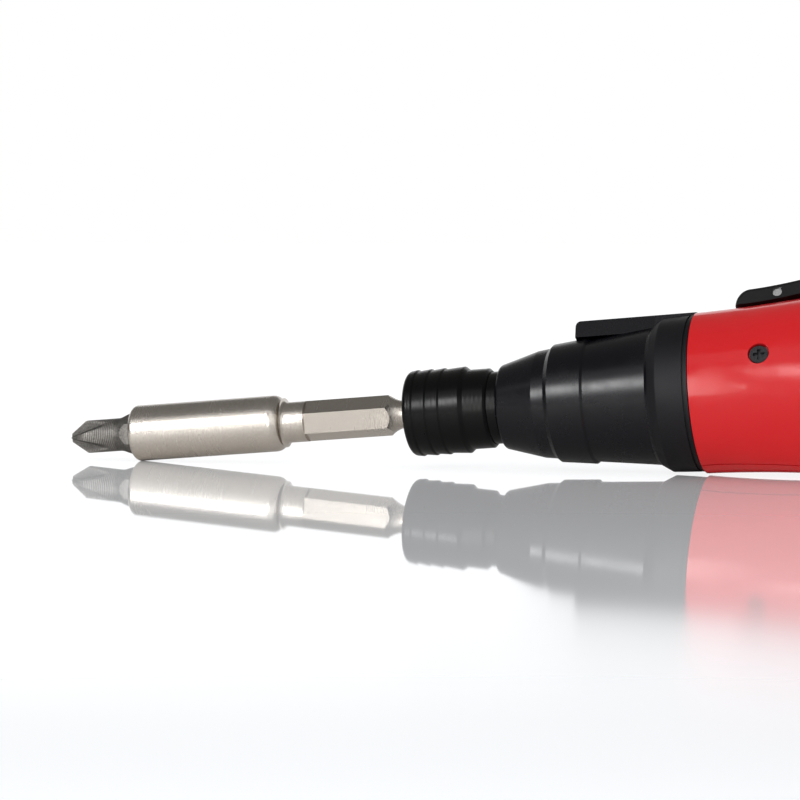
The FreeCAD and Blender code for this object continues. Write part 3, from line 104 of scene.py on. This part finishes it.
class Finish:
    """The nodes of one material, or of the room: a node maker and the sums that the finishes share."""

    def __init__(self, block):
        block.use_nodes = True
        self.block = block
        self.tree = block.node_tree
        self.tree.nodes.clear()

    def node(self, kind, settings=None, sockets=None, out=0):
        """A node with its settings, then its sockets' values or links. Gives the output that is asked for."""
        made = self.tree.nodes.new("ShaderNode" + kind)
        for key, value in (settings or {}).items():
            setattr(made, key, value)
        for key, value in (sockets or {}).items():
            if isinstance(value, Value):
                self.tree.links.new(value.socket, made.inputs[key])
            else:
                made.inputs[key].default_value = value
        return Value(self, made.outputs[out]) if made.outputs else None

    def place(self):
        """Position on the tool, in metres from a point on its axis."""
        here = self.node("TexCoord", out="Object")
        return self.node("VectorMath", {"operation": "SUBTRACT"}, {0: here, 1: AXIS_POINT})

    def part_along(self, place, direction):
        return self.node("VectorMath", {"operation": "DOT_PRODUCT"}, {0: place, 1: direction}, out="Value")

    def noise(self, place, size, detail=3.0, rough=0.5):
        """Blotches or grain of about the given size in metres, from 0 to 1."""
        return self.node("TexNoise", sockets={
            "Vector": place, "Scale": 1 / size, "Detail": detail, "Roughness": rough})

    def stretched(self, place, along_size, round_size):
        """Coordinates in which noise becomes streaks along or around the tool."""
        return self.node("CombineXYZ", sockets={
            0: self.part_along(place, ALONG) / along_size,
            1: self.part_along(place, ACROSS) / round_size,
            2: self.part_along(place, UPWARD) / round_size})

    def spread(self, value, low, high, to_low=0.0, to_high=1.0):
        return self.node("MapRange", sockets={
            "Value": value, "From Min": low, "From Max": high, "To Min": to_low, "To Max": to_high})

    def mixed(self, share, first, second):
        """A colour between two, each of them plain numbers or one that varies."""
        first, second = (colour if isinstance(colour, Value) else (*colour, 1.0) for colour in (first, second))
        return self.node("Mix", {"data_type": "RGBA"}, {0: share, 6: first, 7: second}, out=2)

    def bump(self, height, depth, normal=None):
        sockets = {"Height": height, "Strength": 1.0, "Distance": depth}
        if normal is not None:
            sockets["Normal"] = normal
        return self.node("Bump", sockets=sockets)

    def edge_wear(self, low=0.52, high=0.6):
        """Near 1 on convex edges."""
        return self.spread(self.node("NewGeometry", out="Pointiness"), low, high)

    def ray(self, kind):
        """1 for rays of the kind: Camera, Diffuse, Glossy or Transmission."""
        return self.node("LightPath", out="Is " + kind + " Ray")

    def surface(self, **sockets):
        """The main shader, with its sockets' names written with _ for a space."""
        return self.node("BsdfPrincipled", sockets={
            name.replace("_", " "): value for name, value in sockets.items()})

    def shown(self, shader, output="OutputMaterial"):
        self.node(output, sockets={0: shader})
        return self.block


def new_finish(name):
    return Finish(bpy.data.materials.new(name))


# Finishes

def moulded(name, dark, light, roughness, depth=0.012 * MM, specular=0.5, matt_from=None):
    """Injection-moulded plastic: fine spark-eroded grain, faint flow marks, edges a little polished."""
    finish = new_finish(name)
    place = finish.place()
    flow = finish.noise(place, 14 * MM, 4.0)
    grain = finish.noise(place, 0.25 * MM, 2.0, 0.6)
    rub = finish.noise(place, 5 * MM, 5.0, 0.65)
    colour = finish.mixed(flow * 0.7 + grain * 0.3, dark, light)
    gloss = finish.spread(rub, 0.3, 0.7, roughness - 0.05, roughness + 0.06)
    gloss = gloss - finish.edge_wear() * 0.08
    if matt_from is not None:
        matt = finish.spread(finish.part_along(place, ALONG), matt_from - 0.3 * MM, matt_from)
        gloss = gloss + matt * 0.3
    return finish.shown(finish.surface(
        Base_Color=colour, Roughness=gloss, Specular_IOR_Level=specular, Normal=finish.bump(grain, depth)))


def turned_metal(name, dark, light, roughness, line=0.35 * MM, line_depth=0.001 * MM, pit_depth=0.002 * MM,
                 metallic=1.0, specular=0.5, dull_from=None):
    """Metal turned on a lathe: fine rings round the axis, pits left by plating, faint stains."""
    finish = new_finish(name)
    place = finish.place()
    rings = finish.noise(finish.stretched(place, line, 60 * line), 1.0, 2.0, 0.5)
    pits = finish.noise(finish.stretched(place, 0.3 * MM, 0.32 * MM), 1.0, 2.0, 0.6)
    stain = finish.noise(place, 6 * MM, 4.0, 0.55)
    shade = stain * 0.25 + rings * 0.15 + finish.spread(pits, 0.36, 0.64) * 0.6
    if dull_from is not None:
        behind = finish.part_along(place, ALONG)
        shade = shade * finish.spread(behind, dull_from, dull_from + 0.5 * MM, 1.0, 0.15)
    colour = finish.mixed(shade, dark, light)
    gloss = finish.spread(rings * 0.5 + stain * 0.5, 0.3, 0.7, roughness - 0.04, roughness + 0.05)
    ringed = finish.bump(rings, line_depth)
    return finish.shown(finish.surface(
        Base_Color=colour, Metallic=metallic, Roughness=gloss, Specular_IOR_Level=specular,
        Normal=finish.bump(pits, pit_depth, ringed)))


def blasted_steel(name, dark, light, roughness):
    """Driver bit: blasted, phosphated steel, with turned rings left on the outer faces of its wings."""
    finish = new_finish(name)
    place = finish.place()
    grit = finish.noise(place, 0.22 * MM, 3.0, 0.75)
    stain = finish.noise(place, 2.2 * MM, 4.0, 0.6)
    behind = finish.part_along(place, ALONG) - BIT_TIP
    across = finish.part_along(place, ACROSS)
    upward = finish.part_along(place, UPWARD)
    out = finish.node("Math", {"operation": "SQRT"}, {0: across * across + upward * upward})
    # The rings keep to the outer faces, which lie on a cone and then on the round body
    cone = finish.node("Math", {"operation": "MINIMUM"}, {0: behind * 0.7 + 0.75 * MM, 1: 3.0 * MM})
    turned = finish.spread(out - cone, -0.45 * MM, -0.2 * MM)
    turned = turned * finish.spread(behind, 1.6 * MM, 2.2 * MM) * finish.spread(behind, 9.4 * MM, 8.8 * MM)
    ring_pitch = 0.36 * MM
    wave = finish.node("Math", {"operation": "SINE"}, {0: behind * (2 * math.pi / ring_pitch)})
    rings = (wave * 0.5 + 0.5) * turned
    wear = finish.edge_wear(0.5, 0.62)
    speckle = finish.spread(grit, 0.3, 0.7, -0.2, 0.5)
    colour = finish.mixed(speckle + stain * 0.2 + wear * 0.3 + rings * 0.8 - turned * 0.2, dark, light)
    gloss = finish.spread(grit, 0.2, 0.8, roughness - 0.08, roughness + 0.1)
    ringed = finish.bump(rings, 0.04 * MM)
    return finish.shown(finish.surface(
        Base_Color=colour, Metallic=0.9, Roughness=gloss, Normal=finish.bump(grit, 0.03 * MM, ringed)))


def rubber(name, dark, light, roughness):
    """Soft grip: dusty matt skin with a pebbled grain."""
    finish = new_finish(name)
    place = finish.place()
    pebbles = finish.node("TexVoronoi", {"feature": "F1"}, {"Vector": place, "Scale": 1 / (0.7 * MM)},
                          out="Distance")
    dust = finish.noise(place, 8 * MM, 5.0, 0.6)
    colour = finish.mixed(finish.spread(dust, 0.35, 0.75), dark, light)
    gloss = finish.spread(dust, 0.3, 0.7, roughness - 0.06, roughness + 0.08)
    return finish.shown(finish.surface(
        Base_Color=colour, Roughness=gloss, Specular_IOR_Level=0.35, Normal=finish.bump(pebbles, 0.03 * MM)))


def clear_lens(name):
    """Slightly hazy acrylic."""
    finish = new_finish(name)
    haze = finish.noise(finish.place(), 1.5 * MM, 3.0)
    return finish.shown(finish.surface(
        Base_Color=(0.93, 0.96, 0.98, 1.0), Roughness=finish.spread(haze, 0.3, 0.7, 0.08, 0.2),
        Transmission_Weight=0.85, IOR=1.49))


def circuit_board(name):
    """Green solder mask with faint copper tracks under it."""
    finish = new_finish(name)
    place = finish.place()
    cells = finish.node("TexVoronoi", {"feature": "DISTANCE_TO_EDGE"},
                        {"Vector": place, "Scale": 1 / (2.4 * MM)}, out="Distance")
    tracks = finish.spread(cells, 0.03, 0.09, 1.0, 0.0)
    colour = finish.mixed(tracks, (0.012, 0.11, 0.045), (0.03, 0.24, 0.1))
    fine = finish.noise(place, 0.4 * MM, 2.0)
    return finish.shown(finish.surface(
        Base_Color=colour, Roughness=finish.spread(fine, 0.3, 0.7, 0.28, 0.42),
        Normal=finish.bump(tracks, 0.02 * MM)))


def shrink_wrap(name):
    """Plastic sleeve of the cell, with slight waves from shrinking."""
    finish = new_finish(name)
    waves = finish.noise(finish.stretched(finish.place(), 9 * MM, 3 * MM), 1.0, 2.0)
    colour = finish.mixed(waves, (0.02, 0.10, 0.28), (0.035, 0.16, 0.4))
    return finish.shown(finish.surface(
        Base_Color=colour, Roughness=finish.spread(waves, 0.3, 0.7, 0.2, 0.34),
        Normal=finish.bump(waves, 0.05 * MM)))


# For each material slot: how it is made, and with which colours and depths
FINISHES = {
    "red_plastic": (moulded, dict(
        dark=(0.57, 0.011, 0.015), light=(0.63, 0.015, 0.018), roughness=0.15, depth=0.002 * MM,
        specular=0.3)),
    "nose_plastic": (moulded, dict(
        dark=(0.0007, 0.0008, 0.003), light=(0.0012, 0.0013, 0.004), roughness=0.25, depth=0.003 * MM,
        specular=0.31, matt_from=NOSE_STEP)),
    "lever_plastic": (moulded, dict(
        dark=(0.006, 0.006, 0.0065), light=(0.01, 0.01, 0.011), roughness=0.38, specular=0.25)),
    "switch_plastic": (moulded, dict(
        dark=(0.02, 0.02, 0.022), light=(0.035, 0.035, 0.038), roughness=0.45)),
    "white_nylon": (moulded, dict(dark=(0.62, 0.6, 0.54), light=(0.74, 0.72, 0.67), roughness=0.45)),
    "carbon": (moulded, dict(dark=(0.02, 0.02, 0.02), light=(0.05, 0.05, 0.052), roughness=0.6)),
    "lead_wire": (moulded, dict(dark=(0.42, 0.012, 0.014), light=(0.52, 0.02, 0.022), roughness=0.4)),
    "grip_rubber": (rubber, dict(dark=(0.012, 0.012, 0.013), light=(0.03, 0.03, 0.032), roughness=0.62)),
    "nickel_plate": (turned_metal, dict(
        dark=(0.53, 0.49, 0.445), light=(0.65, 0.61, 0.56), roughness=0.25, pit_depth=0.03 * MM,
        dull_from=SHANK_FRONT)),
    "sleeve_black": (turned_metal, dict(
        dark=(0.0008, 0.0008, 0.001), light=(0.002, 0.002, 0.0022), roughness=0.24, line=0.7 * MM,
        line_depth=0.03 * MM, metallic=0.0, specular=0.18)),
    "bright_steel": (turned_metal, dict(dark=(0.5, 0.5, 0.5), light=(0.64, 0.64, 0.65), roughness=0.25)),
    "gear_steel": (turned_metal, dict(dark=(0.3, 0.29, 0.28), light=(0.45, 0.44, 0.43), roughness=0.4)),
    "black_screw": (turned_metal, dict(
        dark=(0.02, 0.02, 0.022), light=(0.06, 0.06, 0.065), roughness=0.4, metallic=0.8)),
    "bronze": (turned_metal, dict(dark=(0.42, 0.26, 0.11), light=(0.56, 0.37, 0.18), roughness=0.38)),
    "copper": (turned_metal, dict(
        dark=(0.5, 0.2, 0.09), light=(0.68, 0.32, 0.16), roughness=0.3, line=0.3 * MM, line_depth=0.04 * MM)),
    "ferrite": (turned_metal, dict(
        dark=(0.03, 0.03, 0.032), light=(0.07, 0.07, 0.075), roughness=0.55, metallic=0.3)),
    "zinc_can": (turned_metal, dict(
        dark=(0.5, 0.51, 0.52), light=(0.62, 0.63, 0.64), roughness=0.33, line=0.4 * MM)),
    "bit_steel": (blasted_steel, dict(
        dark=(0.07, 0.067, 0.062), light=(0.36, 0.345, 0.325), roughness=0.5)),
    "clear_lens": (clear_lens, {}),
    "board_green": (circuit_board, {}),
    "cell_wrap": (shrink_wrap, {}),
}

made = {}
for piece in record["subparts"]:
    slot = piece["material_slot"]
    if slot not in made:
        maker, values = FINISHES[slot]
        made[slot] = maker(slot + "_finish", **values)
    mesh = frame["nodes"][piece["node"]].data
    mesh.materials.clear()
    mesh.materials.append(made[slot])


# Springs, shown as copies of the imported pieces that ride with their bodies

def pressed_spring(node, body, axis, travel):
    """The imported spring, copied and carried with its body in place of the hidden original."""
    spring = bpy.data.objects.new(node + "_coil", frame["nodes"][node].data.copy())
    bpy.context.scene.collection.objects.link(spring)
    heights = [corner.co.dot(axis) for corner in spring.data.vertices]
    foot = min(heights)
    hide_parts(node)
    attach(spring, body)
    1 - travel / (max(heights) - foot)
    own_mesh(spring)


pressed_spring("chuck_spring", "output", -ALONG, joints["sleeve_slide"]["range_m"][1])
lever_pivot = Vector(joints["lever_press"]["pos_m"])
spring_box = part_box("lever_spring")
spring_arm = ((Vector(spring_box[0]) + Vector(spring_box[1])) / 2 - lever_pivot).dot(ALONG)
lever_swing = math.radians(joints["lever_press"]["range_deg"][1])
pressed_spring("lever_spring", "housing", UPWARD, spring_arm * math.tan(lever_swing))


# Floor, studio cards and light

def pale_table(name):
    """Glossy white acrylic: a mirror at a low angle, satin at steeper ones, and clear from below."""
    finish = new_finish(name)
    in_gloss = finish.ray("Glossy")
    thrown_up = finish.ray("Diffuse")
    haze = finish.noise(finish.node("TexCoord", out="Object"), 0.3, 2.0)
    tint = finish.mixed(haze, (0.9, 0.925, 0.96), (0.92, 0.945, 0.98))
    # Seen in gloss the floor is a greyer tint, which paints shade into the floor that the tool mirrors; for
    # bounce rays it is a plain grey
    tint = finish.mixed(in_gloss, tint, (0.78, 0.765, 0.75))
    tint = finish.mixed(thrown_up, tint, (0.8, 0.8, 0.8))
    # The floor glows for camera rays, to stay white, and more for bounce rays, which paints fill light onto the
    # tool from below
    glow = finish.mixed(finish.ray("Camera"), (0.0, 0.0, 0.0), (0.12, 0.12, 0.12))
    glow = finish.mixed(thrown_up, glow, (0.26, 0.26, 0.26))
    low_angle = finish.node("LayerWeight", sockets={"Blend": 0.5}, out="Facing")
    mirror = finish.spread(low_angle, 0.72, 0.9) * (0.38 - in_gloss * 0.25)
    satin = finish.spread(low_angle, 0.8, 0.88, 0.6, 0.0) * (1.0 - in_gloss)
    table = finish.surface(Base_Color=tint, Metallic=mirror, Roughness=in_gloss * 0.5 + satin + 0.03, IOR=1.5,
                           Emission_Color=glow, Emission_Strength=1.0)
    from_below = finish.node("NewGeometry", out="Backfacing")
    clear = finish.node("BsdfTransparent")
    return finish.shown(finish.node("MixShader", sockets={0: from_below, 1: table, 2: clear}))


def flat_sheet(name, corners, material):
    mesh = bpy.data.meshes.new(name)
    mesh.from_pydata(corners, [], [(0, 1, 2, 3)])
    mesh.materials.append(material)
    sheet = bpy.data.objects.new(name, mesh)
    bpy.context.scene.collection.objects.link(sheet)
    return sheet


TABLE_REACH = 4.0
floor = flat_sheet("floor", [(-TABLE_REACH, -TABLE_REACH, 0), (TABLE_REACH, -TABLE_REACH, 0),
                             (TABLE_REACH, TABLE_REACH, 0), (-TABLE_REACH, TABLE_REACH, 0)],
                   pale_table("pale_floor"))


def grey(level):
    return (level, level, level)


def upright(left, right, front, low, high):
    return [(left, front, low), (right, front, low), (right, front, high), (left, front, high)]


def card(name, corners, middle, edge, reach, core=0.0, middle_at=(0.5, 0.5, 0.5)):
    """Studio card that only gloss shows, fading from its core: bright ones draw highlights, dark ones bands."""
    finish = new_finish(name)
    place = finish.node("TexCoord", out="Generated")
    off = finish.node("VectorMath", {"operation": "DISTANCE"}, {0: place, 1: middle_at}, out="Value")
    fade = finish.node("MapRange", {"interpolation_type": "SMOOTHSTEP"},
                       {"Value": off, "From Min": core, "From Max": reach})
    glow = finish.node("Emission", sockets={"Color": finish.mixed(fade, middle, edge)})
    sheet = flat_sheet(name, corners, finish.shown(glow))
    sheet.visible_camera = False
    sheet.visible_diffuse = False
    sheet.visible_shadow = False
    sheet.visible_transmission = False


# Overhead, in front, the two bright spots in front, and at the left
card("dark_card", [(-1.2, -0.36, 0.6), (1.2, -0.36, 0.6), (1.2, 1.1, 0.6), (-1.2, 1.1, 0.6)],
     (0.2, 0.195, 0.185), (0.28, 0.275, 0.27), 0.7)
card("front_card", upright(-0.26, 1.2, -0.76, 0.08, 0.84), grey(1.4), grey(1.2), 0.8)
card("bright_card", upright(-0.66, -0.31, -0.75, 0.1, 0.7), (29.0, 29.0, 29.2), grey(0.7), 0.44)
card("low_card", upright(-0.31, -0.04, -0.74, 0.0, 0.8), (7.0, 6.9, 6.7), grey(0.5), 0.45,
     core=0.2, middle_at=(0.53, 0.5, 0.17))
card("left_card", [(-1.3, -1.1, 0.01), (-1.5, 0.5, 0.01), (-1.5, 0.5, 0.9), (-1.3, -1.1, 0.9)],
     (0.06, 0.06, 0.065), grey(0.2), 0.6)


def soft_light(name, place, aim, width, height, power, colour):
    lamp = bpy.data.lights.new(name, "AREA")
    lamp.shape = "RECTANGLE"
    lamp.size = width
    lamp.size_y = height
    lamp.energy = power
    lamp.color = colour
    holder = bpy.data.objects.new(name, lamp)
    holder.location = place
    holder.rotation_euler = (Vector(aim) - Vector(place)).to_track_quat("-Z", "Y").to_euler()
    holder.visible_glossy = False
    bpy.context.scene.collection.objects.link(holder)


soft_light("key_light", place=(-0.1, -0.75, 0.42), aim=(-0.04, 0.0, 0.015), width=0.8, height=0.12, power=2.4,
           colour=(1.0, 0.985, 0.96))

# The room lights the tool at a plain level, and is white where it is seen, mirrored or looked at through glass
room = Finish(bpy.data.worlds.new("white_room"))
seen = room.node("Math", {"operation": "MAXIMUM"}, {0: room.ray("Camera"), 1: room.ray("Glossy")})
seen = room.node("Math", {"operation": "MAXIMUM"}, {0: seen, 1: room.ray("Transmission")})
WHITE = (1.0, 1.0, 1.0, 1.0)
soft_room = room.node("Background", sockets={"Color": WHITE, "Strength": 0.72})
white_room = room.node("Background", sockets={"Color": WHITE, "Strength": 1.0})
either = room.node("MixShader", sockets={0: seen, 1: soft_room, 2: white_room})
bpy.context.scene.world = room.shown(either, "OutputWorld")


# Camera at the photograph's angle

AZIMUTH = math.radians(16.089)
ELEVATION = math.radians(3.518)
DISTANCE = 0.53528
TARGET = AXIS_POINT + Vector((-0.054675, 0.0, -0.002136))
FOCAL_LENGTH = 135.0
FILM_WIDTH = 36.0
back = Vector((math.sin(AZIMUTH) * math.cos(ELEVATION), -math.cos(AZIMUTH) * math.cos(ELEVATION),
               math.sin(ELEVATION)))
lens = bpy.data.cameras.new("camera")
lens.lens = FOCAL_LENGTH
lens.sensor_width = FILM_WIDTH
lens.clip_start = 10 * MM
camera = bpy.data.objects.new("camera", lens)
camera.location = TARGET + back * DISTANCE
camera.rotation_euler = (-back).to_track_quat("-Z", "Y").to_euler()
bpy.context.scene.collection.objects.link(camera)
bpy.context.scene.camera = camera
bpy.context.scene.view_settings.view_transform = "Standard"
